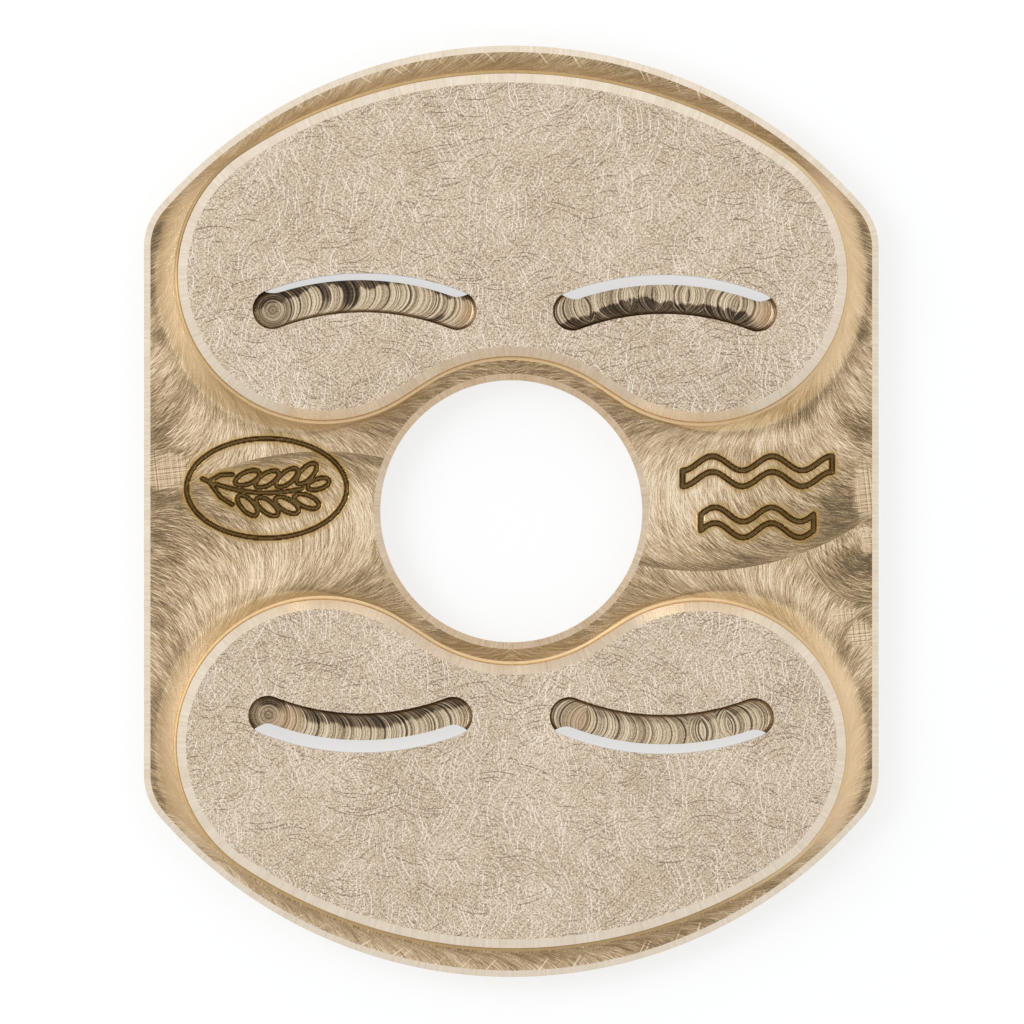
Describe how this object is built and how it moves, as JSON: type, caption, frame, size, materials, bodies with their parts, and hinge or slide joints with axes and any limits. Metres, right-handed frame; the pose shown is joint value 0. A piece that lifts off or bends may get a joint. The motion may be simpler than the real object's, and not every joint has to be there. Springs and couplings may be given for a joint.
{
  "type": "pasta extrusion die",
  "caption": "Round bronze die plate with two flats, a central bore and raised kidney-shaped pads cut by curved feed grooves and narrow extrusion slits.",
  "frame": {"origin": "centre of the flat back face, on the axis of the bore", "axes": "+Z along the bore's axis, from the flat back face towards the pads; +Y towards one pad's peak; the two flats face +X and -X"},
  "size_m": [0.056, 0.071, 0.0054],
  "materials": {
    "bronze": "machined, hand brushed"
  },
  "bodies": {
    "root": {"die_plate": "bronze"}
  },
  "joints": []
}
